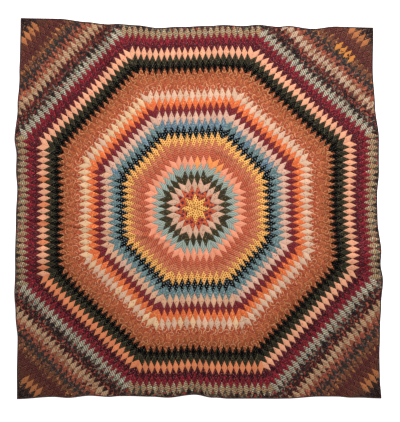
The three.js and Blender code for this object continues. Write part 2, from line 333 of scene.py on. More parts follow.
def apply_modifier(obj, modifier):
    make_active(obj)
    bpy.ops.object.modifier_apply(modifier=modifier.name)


def edit(obj):
    """Opens one object in edit mode with nothing selected."""
    make_active(obj)
    bpy.ops.object.mode_set(mode="EDIT")
    bpy.ops.mesh.select_mode(type="VERT")
    bpy.ops.mesh.select_all(action="DESELECT")


def done():
    bpy.ops.object.mode_set(mode="OBJECT")


def select_vertices(obj, chosen):
    """In edit mode, selects only the vertices where `chosen` is true."""
    bpy.ops.mesh.select_all(action="DESELECT")
    done()
    obj.data.vertices.foreach_set("select", np.asarray(chosen, dtype=bool))
    bpy.ops.object.mode_set(mode="EDIT")


def places(obj):
    values = np.empty(3 * len(obj.data.vertices))
    obj.data.vertices.foreach_get("co", values)
    return values.reshape(-1, 3)


def set_places(obj, values):
    obj.data.vertices.foreach_set("co", np.ascontiguousarray(values).ravel())
    obj.data.update()


def corner_vertices(obj):
    """The vertex at each corner of each face."""
    found = np.empty(len(obj.data.loops), dtype=np.int32)
    obj.data.loops.foreach_get("vertex_index", found)
    return found


def set_maps(obj, **maps):
    """Gives a mesh new maps in place of its old ones, with a place for each corner of each face."""
    while obj.data.uv_layers:
        obj.data.uv_layers.remove(obj.data.uv_layers[0])
    for name, values in maps.items():
        layer = obj.data.uv_layers.new(name=name)
        layer.data.foreach_set("uv", np.asarray(values, dtype=np.float32).ravel())


def grid(name, cells, size):
    """A flat grid round the origin, with so many cells each way, scaled to `size`."""
    deselect()
    bpy.ops.mesh.primitive_grid_add(x_subdivisions=cells[0], y_subdivisions=cells[1], size=1)
    obj = bpy.context.object
    obj.name = obj.data.name = name
    edit(obj)
    bpy.ops.mesh.select_all(action="SELECT")
    bpy.ops.transform.resize(value=(size[0], size[1], 1), center_override=(0, 0, 0))
    done()
    return obj


# %% The diamond
GRID_CELLS = 8
DIAMOND_RINGS = [  # ring of the grid from the seam inwards: its size, and how high it stands
    (1.0, 0.0),
    (0.90, 1.0),
    (0.64, 0.9),
    (0.37, 1.65),
    (0.0, 1.85),
]


def make_diamond():
    diamond = grid("diamond", (GRID_CELLS, GRID_CELLS), (1, 1))
    square = places(diamond)[:, :2]
    ring_of = np.rint((0.5 - np.abs(square).max(axis=1)) * GRID_CELLS).astype(int)
    edit(diamond)
    bpy.ops.mesh.select_all(action="SELECT")
    bpy.ops.transform.rotate(value=math.radians(45), orient_axis="Z", center_override=(0, 0, 0))
    to_point = (math.sqrt(2) * HALF_LONG, math.sqrt(2) * HALF_SHORT, 1)
    bpy.ops.transform.resize(value=to_point, center_override=(0, 0, 0))
    for ring, (size, height) in enumerate(DIAMOND_RINGS[1:-1], start=1):
        select_vertices(diamond, ring_of == ring)
        scale = size / (1 - 2 * ring / GRID_CELLS)
        bpy.ops.transform.resize(value=(scale, scale, 1), center_override=(0, 0, 0))
        bpy.ops.transform.translate(value=(0, 0, height * MM))
    select_vertices(diamond, ring_of == GRID_CELLS // 2)
    bpy.ops.transform.translate(value=(0, 0, DIAMOND_RINGS[-1][1] * MM))
    done()
    return diamond


diamond = make_diamond()
diamond_shape = places(diamond)
print("diamond, mm:", (np.ptp(diamond_shape, axis=0) / MM).round(1))

# %% [markdown]
# A ring of the quilt is eight straight rows, one in each wedge. An Array modifier lays out one row,
# and Spin turns copies of it round the star. Each patch keeps two maps: its place within its own
# diamond, which the stitches follow, and its place on the printed cloth that it was cut from, which
# is different for each patch. A tone is kept with it too, because scraps of one print rarely match
# exactly, and so is whether it takes its ring's second colour. What hangs over the square cut is
# bisected away.

# %% One ring of patches
rng = np.random.default_rng(1880)
PATCH_VERTICES = (GRID_CELLS + 1) ** 2
PATCH_CORNERS = 4 * GRID_CELLS**2
CLOTH_REPEAT = 900.0  # millimetres of printed cloth that patches are cut from
PATCH_SPREADS = {"tone": (0.045, 0.8, 1.2), "puff": (0.18, 0.5, 1.5)}  # spread, least and most


def per_vertex(obj, name, values):
    layer = obj.data.attributes.new(name, "FLOAT", "POINT")
    layer.data.foreach_set("value", np.asarray(values, dtype=np.float32))


def map_patches(obj, count):
    """Gives each patch its place in its own diamond and on the cloth it was cut from."""
    x, y = diamond_shape[corner_vertices(obj) % PATCH_VERTICES, :2].T
    ahead, aside = x / HALF_LONG + 1, y / HALF_SHORT
    grain = np.array([
        [math.cos(HALF_POINT), -math.sin(HALF_POINT)],
        [math.sin(HALF_POINT), math.cos(HALF_POINT)],
    ])
    offset = np.repeat(rng.uniform(0, CLOTH_REPEAT, (count, 2)), PATCH_CORNERS, axis=0)
    set_maps(
        obj,
        diamond=np.stack([(ahead - aside) / 2, (ahead + aside) / 2], axis=1),
        cloth=np.stack([x, y], axis=1) / MM @ grain.T + offset,
    )


def make_ring(ring, lot_wedges):
    """One ring of patches, still flat: ring 0 is the star in the middle."""
    obj = diamond.copy()
    obj.data = diamond.data.copy()
    bpy.context.collection.objects.link(obj)
    row = obj.modifiers.new("row", "ARRAY")
    row.count = ring + 1
    row.use_relative_offset = False
    row.use_constant_offset = True
    row.constant_offset_displace = (0, 2 * HALF_SHORT, 0)
    apply_modifier(obj, row)
    edit(obj)
    bpy.ops.mesh.select_all(action="SELECT")
    bpy.ops.transform.translate(value=((ring + 1) * ROW_PITCH, -ring * HALF_SHORT, 0))
    turned = FULL_TURN * (WEDGES - 1) / WEDGES
    bpy.ops.mesh.spin(steps=WEDGES - 1, dupli=True, angle=turned, center=(0, 0, 0), axis=(0, 0, -1))
    done()
    count = WEDGES * (ring + 1)
    map_patches(obj, count)
    for name, (spread, least, most) in PATCH_SPREADS.items():
        drawn = rng.normal(1, spread, count).clip(least, most)
        per_vertex(obj, name, np.repeat(drawn, PATCH_VERTICES))
    wedge, number = np.divmod(np.arange(count), ring + 1)
    along = (number + 0.5) / (ring + 1)
    start, end, share = np.array([lot_wedges.get(k, (0, 0, 0)) for k in range(WEDGES)])[wedge].T
    second = (along > start) & (along < end) & (rng.uniform(0, 1, count) < share)
    per_vertex(obj, "lot", np.repeat(second, PATCH_VERTICES))
    return obj


def trim_to_cut(obj):
    """Cuts away what lies outside the square."""
    sides = [(CUT_LOW, (-1, 0)), (CUT_LOW, (0, -1)), (CUT_HIGH, (1, 0)), (CUT_HIGH, (0, 1))]
    edit(obj)
    for corner, outward in sides:
        bpy.ops.mesh.select_all(action="SELECT")
        bpy.ops.mesh.bisect(plane_co=(*corner, 0), plane_no=(*outward, 0), clear_outer=True)
    done()


LIP_REACH = 6.3 * MM  # the binding holds the patches down this far in
PUFF_RETURN = 14 * MM


def lay_patches(obj):
    """Lays a flat ring over the quilt, with its puffs pressed flat under the binding."""
    flat = places(obj)
    puff = np.empty(len(flat), dtype=np.float32)
    obj.data.attributes["puff"].data.foreach_get("value", puff)
    free = smooth(np.clip((nearest_edge(flat[:, :2]) - LIP_REACH) / PUFF_RETURN, 0, 1))
    set_places(obj, lay(flat[:, :2], SEAM_THICKNESS + flat[:, 2] * puff * free))


# %% [markdown]
# A finish is built up as an expression. The small class below stands for a number on its way through
# a material: Python's own signs add Math nodes to it, so that a pattern reads as arithmetic. Colours
# go through Mix nodes, because a Math node would turn them grey.

# %% Numbers that become nodes
class Number:
    """A number that varies over a surface, as the socket that gives it."""

    def __init__(self, finish, socket):
        self.finish = finish
        self.socket = socket

    def math(self, operation, *others):
        return self.finish.math(operation, self, *others)

    def __add__(self, other):
        return self.math("ADD", other)

    def __sub__(self, other):
        return self.math("SUBTRACT", other)

    def __rsub__(self, other):
        return self.finish.math("SUBTRACT", other, self)

    def __mul__(self, other):
        return self.math("MULTIPLY", other)

    def __truediv__(self, other):
        return self.math("DIVIDE", other)

    def __pow__(self, other):
        return self.math("POWER", other)

    def sin(self):
        return self.math("SINE")

    def cos(self):
        return self.math("COSINE")

    def abs(self):
        return self.math("ABSOLUTE")

    def floor(self):
        return self.math("FLOOR")

    def fract(self):
        return self.math("FRACT")

    def at_least(self, other):
        return self.math("MAXIMUM", other)

    def at_most(self, other):
        return self.math("MINIMUM", other)

    def rise(self, low, high):
        """0 below `low`, 1 above `high` and smooth between. With low over high it falls instead."""
        falls = low > high
        ends = {1: min(low, high), 2: max(low, high), 3: float(falls), 4: float(not falls)}
        settings = {"interpolation_type": "SMOOTHSTEP"}
        made = self.finish.node("ShaderNodeMapRange", settings, {0: self, **ends})
        return Number(self.finish, made.outputs[0])


def linear(colour):
    """A colour given from 0 to 255 as on a screen, as the light it stands for."""
    shares = [c / 255 for c in colour]
    return (*(s / 12.92 if s <= 0.04045 else ((s + 0.055) / 1.055) ** 2.4 for s in shares), 1.0)


class Finish:
    """One material under construction."""

    def __init__(self, name, roughness=0.95, sheen=0.0):
        self.material = bpy.data.materials.new(name)
        self.material.use_nodes = True
        self.tree = self.material.node_tree
        self.shader = self.tree.nodes["Principled BSDF"]
        self.shader.inputs["Roughness"].default_value = roughness
        self.shader.inputs["Sheen Weight"].default_value = sheen
        self.shader.inputs["Sheen Roughness"].default_value = 0.5
        self.shader.inputs["Specular IOR Level"].default_value = 0.06

    def node(self, kind, settings=None, sockets=None):
        made = self.tree.nodes.new(kind)
        for name, value in (settings or {}).items():
            setattr(made, name, value)
        for name, value in (sockets or {}).items():
            self.join(value, made.inputs[name])
        return made

    def join(self, value, socket):
        if isinstance(value, Number):
            value = value.socket
        if isinstance(value, bpy.types.NodeSocket):
            self.tree.links.new(value, socket)
        else:
            socket.default_value = value

    def math(self, operation, *values):
        made = self.node("ShaderNodeMath", {"operation": operation}, dict(enumerate(values)))
        return Number(self, made.outputs[0])

    def mix(self, factor, first, second, blend="MIX"):
        """The colour `first` where factor is 0 and `second` where it is 1."""
        settings = {"data_type": "RGBA", "blend_type": blend}
        made = self.node("ShaderNodeMix", settings, {0: factor, 6: first, 7: second})
        return made.outputs[2]

    def map_place(self, name):
        """The two numbers of one of a piece's maps."""
        found = self.node("ShaderNodeUVMap", {"uv_map": name})
        parts = self.node("ShaderNodeSeparateXYZ", sockets={0: found.outputs[0]})
        return Number(self, parts.outputs[0]), Number(self, parts.outputs[1])

    def follow_cloth(self):
        """Takes up the cloth's own map, in millimetres."""
        self.u, self.v = self.map_place("cloth")
        self.cloth = self.vector(self.u, self.v)

    def relief(self, height):
        """Bump from a height in millimetres."""
        bump = self.node("ShaderNodeBump", {}, {"Strength": 1.0, "Distance": MM, "Height": height})
        self.join(bump.outputs[0], self.shader.inputs["Normal"])

    def kept(self, name):
        """A number kept with each patch."""
        found = self.node("ShaderNodeAttribute", {"attribute_name": name})
        return Number(self, found.outputs["Fac"])

    def vector(self, x, y):
        return self.node("ShaderNodeCombineXYZ", sockets={0: x, 1: y}).outputs[0]

    def noise(self, place, scale, detail=2.0):
        sockets = {"Vector": place, "Scale": scale, "Detail": detail}
        made = self.node("ShaderNodeTexNoise", sockets=sockets)
        return Number(self, made.outputs["Fac"])

    def spots(self, place, scale):
        """Distance to the nearest of many scattered points, in shares of their spacing."""
        made = self.node("ShaderNodeTexVoronoi", sockets={"Vector": place, "Scale": scale})
        return Number(self, made.outputs["Distance"])

    def chance(self, place):
        """A number from 0 to 1 that is the same wherever the place is the same."""
        made = self.node("ShaderNodeTexWhiteNoise", {"noise_dimensions": "2D"}, {"Vector": place})
        return Number(self, made.outputs["Value"])


# %% [markdown]
# Calico prints of this age are small repeats: dots, specks, fine wavy stripes, sprigs, blossoms,
# paisleys and curls. Each is a short function here that says where its ink lies on the cloth, in
# millimetres of the cloth's own map. They are plain designs of their kinds, in the colours and at the
# scale that each ring has.

# %% Printed motifs
class Print:
    """One ink of a print: what it draws, its colour, its spacing and its size, in millimetres."""

    def __init__(self, motif, ink, pitch, size, strength=1.0):
        self.motif, self.ink, self.pitch, self.size, self.strength = motif, ink, pitch, size, strength


def cells(f, pitch):
    """Staggered cells of a repeat: a point's place from its cell's middle, and the cell's chance."""
    row = f.v / pitch
    across = f.u / pitch + row.floor() * 0.5
    cell = f.vector(across.floor(), row.floor())
    return (across.fract() - 0.5) * pitch, (row.fract() - 0.5) * pitch, f.chance(cell)


def polar(f, x, y):
    return (x * x + y * y).math("SQRT"), f.math("ARCTAN2", y, x)


def dots(f, pitch, size):
    x, y, chance = cells(f, pitch)
    away, _ = polar(f, x + (chance - 0.5) * pitch * 0.25, y)
    return away.rise(size * 1.15, size * 0.85)


def specks(f, pitch, size):
    return f.spots(f.cloth, 1 / pitch).rise(size / pitch * 1.2, size / pitch * 0.8)


def wavy_lines(f, pitch, size):
    sway = (f.u * (FULL_TURN / (pitch * 7))).sin() * pitch * 0.45
    across = ((f.v + sway) / pitch).fract() - 0.5
    return across.abs().rise(size / pitch * 0.65, size / pitch * 0.35)


def fine_stripes(f, pitch, size):
    across = (f.u / pitch).fract() - 0.5
    return across.abs().rise(size / pitch * 0.65, size / pitch * 0.35)


def sprigs(f, pitch, size):
    x, y, chance = cells(f, pitch)
    away, angle = polar(f, x, y)
    leaf = ((angle + chance * FULL_TURN) * 1.5).cos().abs()
    return (away / (leaf * size + 0.05)).rise(1.1, 0.9)


def blossoms(f, pitch, size):
    x, y, chance = cells(f, pitch)
    away, angle = polar(f, x, y)
    petal = ((angle + chance * FULL_TURN) * 5).cos() * 0.24 + 0.76
    return (away / (petal * size)).rise(1.06, 0.94)


def blossom_hearts(f, pitch, size):
    x, y, _ = cells(f, pitch)
    away, _ = polar(f, x, y)
    return away.rise(size * 1.1, size * 0.9)


def paisleys(f, pitch, size):
    """A teardrop with a bent tip, drawn as a ring with a dot in it."""
    x, y, chance = cells(f, pitch)
    away, angle = polar(f, x, y)
    bent = angle + chance * FULL_TURN + away / size * 0.9
    reach = ((bent.cos().at_least(0)) ** 4) * size * 1.1 + size
    inward = away / reach
    ring = inward.rise(0.68, 0.76) * inward.rise(1.04, 0.96)
    return ring.at_least(inward.rise(0.34, 0.26))


def curls(f, pitch, size):
    """Open scrolls: a thin line that winds outwards for about one turn."""
    x, y, chance = cells(f, pitch)
    away, angle = polar(f, x, y)
    turn = ((angle / FULL_TURN + chance).fract() * 0.75 + 0.35) * size
    return (away - turn).abs().rise(size * 0.13, size * 0.07)


def flecks(f, pitch, size):
    """Irregular scraps of colour, as in a crowded leafy print."""
    level = 1 - size / pitch
    return f.noise(f.cloth, 1.6 / pitch, detail=1.5).rise(level, level + 0.04)


# %% [markdown]
# The fabrics go ring by ring from the star outwards. Neighbouring rings that belong together are
# pieced as one band. Colours are given as they look on a screen. Where a ring has a second colour,
# it follows, and for each wedge that has it, counted anticlockwise from the right, the stretch of the
# row where it starts and ends, and the share of the patches there. Most second colours are second dye
# lots. Those of the peach ring, the first crimson ring and the second dark floral ring are darker, in
# the wedges towards the bottom.

# %% The fabrics, ring by ring
CORNER_WEDGES = {wedge: (0, 1, 1) for wedge in (1, 3, 5, 7)}
FABRICS = [  # band, slot, ground colour, prints, second lot, its wedges
    ("star", "light_prints", (250, 190, 104), [Print(dots, (150, 60, 24), 12, 3.7)]),
    ("star", "light_prints", (200, 84, 52), [
        Print(specks, (236, 144, 88), 10, 2.0),
        Print(blossoms, (84, 42, 60), 26, 11),
        Print(blossom_hearts, (206, 110, 60), 25, 2.6),
    ]),
    ("star", "light_prints", (218, 172, 144), [Print(specks, (126, 68, 54), 10, 2.2)]),
    ("olive_and_mist", "cool_prints", (58, 50, 34), [Print(specks, (156, 138, 100), 9, 1.9)]),
    ("olive_and_mist", "cool_prints", (172, 180, 164), [
        Print(wavy_lines, (102, 128, 128), 10, 4.0),
        Print(specks, (210, 142, 112), 14, 2.2),
    ]),
    ("coral", "light_prints", (242, 154, 120), [
        Print(specks, (252, 196, 160), 9, 1.7),
        Print(specks, (204, 100, 74), 12, 2.0),
    ], (244, 148, 84), {2: (0, 0.45, 0.8), 1: (0.6, 1, 0.8)}),
    ("terracotta", "warm_prints", (204, 102, 72), [
        Print(fine_stripes, (132, 52, 42), 10, 3.4),
        Print(flecks, (222, 128, 92), 12, 4.6),
    ]),
    ("terracotta", "warm_prints", (214, 124, 88), [
        Print(fine_stripes, (138, 66, 50), 10, 3.4),
        Print(flecks, (230, 148, 108), 12, 4.6),
    ]),
    ("mustard", "light_prints", (248, 184, 102), [Print(dots, (142, 60, 26), 12, 3.6)]),
    ("midnight", "dark_prints", (4, 6, 8), [Print(dots, (154, 172, 178), 14, 2.2)]),
    ("steel_blue", "cool_prints", (94, 120, 122), [
        Print(flecks, (152, 168, 164), 12, 5.4),
        Print(specks, (44, 68, 82), 9, 2.2),
    ], (92, 118, 136), {1: (0, 1, 0.7), 2: (0, 1, 0.9), 3: (0, 1, 0.2)}),
    ("shell_pink", "light_prints", (220, 174, 150), [Print(specks, (134, 58, 52), 11, 2.5)],
     (222, 170, 136), {4: (0, 1, 0.7), 5: (0, 1, 0.8), 6: (0, 1, 0.8)}),
    ("maroon", "dark_prints", (122, 40, 46), [
        Print(sprigs, (44, 18, 28), 13, 4.2),
        Print(specks, (190, 96, 108), 12, 1.7),
    ]),
    ("orange", "warm_prints", (224, 106, 60), [
        Print(flecks, (250, 162, 90), 13, 5.4),
        Print(specks, (166, 54, 40), 11, 2.1),
    ]),
    ("cream", "light_prints", (222, 181, 152), [Print(specks, (136, 94, 70), 10, 2.2)],
     (230, 188, 146), {3: (0, 1, 0.9), 4: (0, 1, 0.9), 5: (0, 1, 0.5), 6: (0, 1, 0.4)}),
    ("rust_paisley", "warm_prints", (184, 88, 56), [
        Print(paisleys, (130, 42, 34), 27, 8.5),
        Print(curls, (240, 196, 150), 38, 17, 0.6),
    ]),
    ("rust_paisley", "warm_prints", (178, 94, 60), [
        Print(fine_stripes, (150, 68, 44), 10, 3.2),
        Print(curls, (206, 132, 84), 46, 20, 0.8),
    ]),
    ("rust_paisley", "warm_prints", (150, 74, 44), [
        Print(curls, (232, 180, 124), 36, 17, 0.55),
        Print(specks, (98, 38, 28), 10, 2.4),
    ]),
    ("black_and_olive", "dark_prints", (5, 4, 4), [Print(specks, (70, 62, 50), 11, 1.6)]),
    ("black_and_olive", "dark_prints", (50, 46, 33), [
        Print(sprigs, (12, 18, 14), 13, 4.4),
        Print(specks, (122, 110, 78), 11, 2.0),
    ]),
    # second colour: a darker, oranger peach in the wedges towards the bottom
    ("peach", "light_prints", (234, 166, 130), [Print(specks, (206, 90, 54), 10, 2.4)],
     (226, 136, 92), {4: (0, 1, 0.3), 5: (0, 1, 1), 6: (0, 1, 1)}),
    # second colour: a darker crimson in the three wedges towards the bottom
    ("crimson", "dark_prints", (70, 26, 34), [
        Print(flecks, (152, 46, 54), 14, 5.8),
        Print(specks, (190, 110, 100), 13, 2.0),
    ], (48, 18, 26), {5: (0, 1, 1), 6: (0, 1, 1), 7: (0, 1, 0.6)}),
    ("crimson", "dark_prints", (100, 30, 38), [
        Print(flecks, (178, 40, 54), 13, 5.6),
        Print(specks, (34, 16, 26), 12, 2.6),
        Print(specks, (212, 48, 72), 17, 2.4),
    ]),
    ("stone_stripe", "cool_prints", (182, 146, 108), [
        Print(specks, (214, 218, 200), 12, 3.0),
        Print(fine_stripes, (86, 74, 58), 11, 4.2),
        Print(specks, (156, 48, 50), 16, 3.4),
        Print(specks, (58, 102, 94), 19, 4.0),
    ], (178, 168, 146), CORNER_WEDGES),
    ("dark_floral", "dark_prints", (50, 37, 36), [
        Print(flecks, (122, 110, 92), 30, 14),
        Print(flecks, (156, 54, 50), 24, 10),
        Print(flecks, (32, 25, 26), 60, 26),
    ], (70, 57, 47), {0: (0, 1, 1), 4: (0, 1, 1), 6: (0, 1, 0.5)}),
    # second colour: darker, in the two lower corner wedges
    ("dark_floral", "dark_prints", (84, 40, 37), [
        Print(flecks, (166, 84, 64), 26, 11.4),
        Print(flecks, (36, 31, 30), 40, 18),
        Print(specks, (148, 46, 50), 16, 3.0),
    ], (58, 29, 29), {5: (0, 1, 1), 7: (0, 1, 1)}),
    ("beige", "light_prints", (190, 154, 120), [
        Print(flecks, (156, 112, 84), 46, 21),
        Print(fine_stripes, (122, 92, 70), 11, 2.8),
        Print(specks, (126, 58, 46), 16, 2.4),
    ], (194, 164, 138), {1: (0, 1, 0.9)}),
    ("rust_flecks", "warm_prints", (134, 70, 54), [
        Print(flecks, (186, 98, 68), 18, 7.6),
        Print(flecks, (56, 34, 34), 34, 15),
        Print(specks, (214, 150, 112), 15, 2.4),
    ]),
    ("slate", "dark_prints", (52, 40, 38), [
        Print(flecks, (50, 60, 58), 24, 12),
        Print(flecks, (146, 80, 62), 24, 10),
    ]),
    ("ochre", "warm_prints", (108, 66, 48), [
        Print(flecks, (58, 38, 35), 30, 13),
        Print(flecks, (176, 110, 66), 36, 14),
        Print(specks, (200, 136, 80), 12, 2.2),
    ], (192, 122, 58), {1: (0.44, 0.57, 1)}),
    ("claret_waves", "dark_prints", (60, 27, 33), [Print(wavy_lines, (108, 56, 46), 8, 3.0)]),
    ("claret_waves", "dark_prints", (58, 25, 30), [Print(wavy_lines, (130, 74, 54), 8, 2.8)]),
    ("old_gold", "warm_prints", (84, 50, 40), [Print(specks, (56, 32, 28), 11, 2.4)],
     (172, 106, 66), {wedge: (0.44, 0.57, 1) for wedge in CORNER_WEDGES}),
    ("corner_brown", "dark_prints", (50, 34, 33), [Print(specks, (168, 116, 82), 13, 2.8)]),
    ("corner_brown", "dark_prints", (36, 24, 23), [Print(specks, (120, 80, 58), 13, 2.4)]),
    ("corner_brown", "dark_prints", (36, 24, 23), [Print(specks, (120, 80, 58), 13, 2.4)]),
]
print("rings:", len(FABRICS), "bands:", len({row[0] for row in FABRICS}))

# %% [markdown]
# Washed calico is matt, with a fine plain weave. The seams are sunk, with painted shade that darkens
# the cloth beside them, the tops of the puffs are faded, and a running stitch in pale thread goes round
# a quarter inch inside each seam.
# The weave, the stitches and the small puckers that they draw up are bump, because they are finer
# than the mesh.

# %% Printed and quilted cotton
THREAD = (206, 190, 164)
WEAVE_PITCH = 0.62  # millimetres
WEAVE_DEPTH = 0.05 * MM
PUCKER_DEPTH = 0.5 * MM
STITCH_INSET = 5.6 * MM
STITCH_LENGTH = 2.6 * MM
STITCH_WIDTH = 0.45 * MM
STITCH_DEPTH = 0.5 * MM
SIDE_DISTANCE = DIAMOND_SIDE * math.sin(2 * HALF_POINT)  # between two opposite sides of a diamond


def stitch_line(side, along):
    """Running stitches beside one pair of sides. Both numbers run from 0 to 1 over the diamond."""
    inset = STITCH_INSET / SIDE_DISTANCE
    half_width = STITCH_WIDTH / SIDE_DISTANCE / 2
    away = (side.at_most(1 - side) - inset).abs()
    within = along.at_most(1 - along).rise(inset - half_width, inset)
    dash = (along * (DIAMOND_SIDE / STITCH_LENGTH)).fract() - 0.5
    return away.rise(half_width * 1.4, half_width * 0.7) * within, dash.abs().rise(0.30, 0.24)


def quilting(p, q):
    """A diamond's distance from its seam in millimetres, the line that is sewn down and its thread."""
    seam = p.at_most(1 - p).at_most(q.at_most(1 - q)) * (SIDE_DISTANCE / MM)
    first_line, first_dash = stitch_line(p, q)
    second_line, second_dash = stitch_line(q, p)
    thread = (first_line * first_dash).at_least(second_line * second_dash)
    return seam, first_line.at_least(second_line), thread


def weave(f):
    turn = FULL_TURN / WEAVE_PITCH
    return (f.u * turn).sin() * (f.v * turn).sin()


def quilted_cotton(name, ground, prints, second=None):
    f = Finish(name, sheen=0.02)
    f.follow_cloth()
    colour = linear(ground)
    if second:
        colour = f.mix(f.kept("lot"), colour, linear(second))
    for ink in prints:
        colour = f.mix(ink.motif(f, ink.pitch, ink.size) * ink.strength, colour, linear(ink.ink))

    seam, line, thread = quilting(*f.map_place("diamond"))
    # Painted shade: the tone falls to 0.7 within 1.6 mm of each sunk seam. The tops of the puffs are a
    # little lighter, where they are faded.
    tone = f.kept("tone") * (seam.rise(0.0, 1.6) * 0.3 + 0.7) * (seam.rise(9, 15) * 0.06 + 0.97)
    tone = tone * (f.noise(f.cloth, 0.04, detail=3) * 0.24 + 0.88)
    shade = f.node("ShaderNodeCombineColor", sockets={0: tone, 1: tone, 2: tone}).outputs[0]
    colour = f.mix(1.0, colour, shade, blend="MULTIPLY")
    colour = f.mix(thread * 0.55, colour, linear(THREAD))
    f.join(colour, f.shader.inputs["Base Color"])

    pucker = f.noise(f.cloth, 0.28, detail=2) * (1 - seam.rise(6, 14) * 0.7)
    stitching = (thread * 0.6 - line) * STITCH_DEPTH
    f.relief((pucker * PUCKER_DEPTH + stitching + weave(f) * WEAVE_DEPTH) / MM)
    f.join(0.95 - thread * 0.2, f.shader.inputs["Roughness"])
    return f.material


# %% Piece the bands
def join_rings(name, rings):
    deselect()
    for ring in rings:
        ring.select_set(True)
    bpy.context.view_layer.objects.active = rings[0]
    if len(rings) > 1:
        bpy.ops.object.join()
    band = bpy.context.view_layer.objects.active
    band.name = band.data.name = name
    return band


bands = {}
for ring, (band_name, slot, ground, prints, *lot) in enumerate(FABRICS):
    second, lot_wedges = lot or (None, {})
    made = make_ring(ring, lot_wedges)
    trim_to_cut(made)
    made.data.materials.clear()
    made.data.materials.append(quilted_cotton(f"ring_{ring:02d}_cotton", ground, prints, second))
    lay_patches(made)
    bands.setdefault(band_name, []).append(made)
bands = {name: join_rings(f"patches_{name}", rings) for name, rings in bands.items()}
for name, band in bands.items():
    band.data.shade_smooth()
    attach(band, "root")
bpy.data.objects.remove(diamond)
print("patch quads:", sum(len(band.data.polygons) for band in bands.values()))

# %% [markdown]
# Under the patches lies the quilt's body, wadding and backing in one closed sheet. A grid the size of
# the cut cloth is extruded to the sheet's thickness and then laid with the same folds as the patches.
# Its back is plain unbleached cotton, dimpled by the quilting that comes through from the front.

# %% The body and its backing
BODY_CELLS = 180
TOP_CLEARANCE = 0.5 * MM  # the body's top stays this far under the patches' seams


def make_body():
    body = grid("quilt_body", (BODY_CELLS, BODY_CELLS), CUT_SIZE)
    edit(body)
    bpy.ops.mesh.select_all(action="SELECT")
    raised = {"value": (0, 0, SEAM_THICKNESS - TOP_CLEARANCE)}
    bpy.ops.mesh.extrude_region_move(TRANSFORM_OT_translate=raised)
    bpy.ops.mesh.select_all(action="SELECT")
    middle = (CUT_LOW + CUT_HIGH) / 2
    bpy.ops.transform.translate(value=(*middle, 0))
    bpy.ops.mesh.normals_make_consistent(inside=False)
    done()
    shape = places(body)
    set_maps(body, cloth=shape[corner_vertices(body), :2] / MM)
    set_places(body, lay(shape[:, :2], shape[:, 2], creased=False))
    body.data.shade_smooth()
    return body


def backing_cotton():
    """Plain cotton with the dimples of the quilting, on the star's lattice over the flat map."""
    f = Finish("backing_cotton", sheen=0.15)
    f.follow_cloth()
    away, angle = polar(f, f.u, f.v)
    wedge = (angle / (2 * HALF_POINT) + 0.5).fract() - 0.5
    folded = wedge * (2 * HALF_POINT)
    ahead = away * folded.cos() / (HALF_LONG / MM)
    aside = away * folded.sin() / (HALF_SHORT / MM)
    seam, line, thread = quilting(((ahead - aside) / 2).fract(), ((ahead + aside) / 2).fract())
    stain = f.noise(f.cloth, 0.004, detail=4)
    colour = f.mix(stain.rise(0.35, 0.7), linear((206, 190, 160)), linear((190, 170, 136)))
    colour = f.mix(specks(f, 9, 0.5) * 0.6, colour, linear((150, 120, 88)))
    colour = f.mix(thread * 0.8, colour, linear(THREAD))
    f.join(colour, f.shader.inputs["Base Color"])
    puff = seam.rise(0, 7) * 0.7 + f.noise(f.cloth, 0.2, detail=2) * 0.6
    f.relief(puff - line * (STITCH_DEPTH / MM) + weave(f) * (WEAVE_DEPTH / MM))
    return f.material


body = make_body()
body.data.materials.append(backing_cotton())
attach(body, "root")
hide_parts("quilt")
print("body, metres:", [round(c, 3) for c in body.dimensions])

# %% [markdown]
# The binding is a strip of dark cotton folded over the raw edge and hemmed down on both faces. Each
# of the four strips starts as a long flat grid, one way along the edge and the other way across the
# strip. Its width is then wrapped round the edge on a rounded path, its ends are mitred, and a
# Solidify modifier gives it the thickness of folded cloth.

# %% The binding
STRIP_CELLS = (320, 14)
STRIP_THICKNESS = 0.55 * MM
BINDING_PATH = [  # outwards from the cut edge and up from the floor, from the back hem to the front one
    (-6.2, 0.75), (-4.2, 0.15), (-1.2, 0.0), (0.2, 0.25), (0.95, 1.1), (1.2, 2.6),
    (1.0, 4.1), (0.3, 5.0), (-1.0, 5.35), (-3.6, 5.3), (-5.3, 5.0), (-6.2, 4.25),
]
MITRE_GAP = 0.15 * MM
STRIP_LENGTH = 2060.0  # the strip's own map, millimetres
STRIP_WIDTH = 27.0
HEM_INSET = 0.9
HEM_STITCH = 4.2
SIDES = {  # anticlockwise, with the corners of the cut that each side runs between
    "bottom": ((0, 0), (1, 0)),
    "right": ((1, 0), (1, 1)),
    "top": ((1, 1), (0, 1)),
    "left": ((0, 1), (0, 0)),
}


def path_at(share):
    """Points of the path round the edge, at shares of its length."""
    points = np.array(BINDING_PATH) * MM
    steps = np.linalg.norm(np.diff(points, axis=0), axis=1)
    lengths = np.concatenate([[0], np.cumsum(steps)])
    return np.stack([np.interp(share * lengths[-1], lengths, axis) for axis in points.T], axis=1)


def side_line(side, shares):
    """Points of one side of the cut, flat and as laid, at shares of its length."""
    start, end = (CUT_LOW + np.array(corner) * CUT_SIZE for corner in SIDES[side])
    flat = start + (end - start) * np.reshape(shares, (-1, 1))
    return flat, laid_from_star(flat) + STAR


def directions(line):
    run = np.diff(line, axis=0)
    return run / np.linalg.norm(run, axis=1, keepdims=True)


def outwards(before, after):
    """The way out from an edge between its runs before and after each point, longer where it turns."""
    out_before, out_after = (np.stack([run[:, 1], -run[:, 0]], axis=1) for run in (before, after))
    return (out_before + out_after) / (1 + (out_before * out_after).sum(axis=1))[:, None]


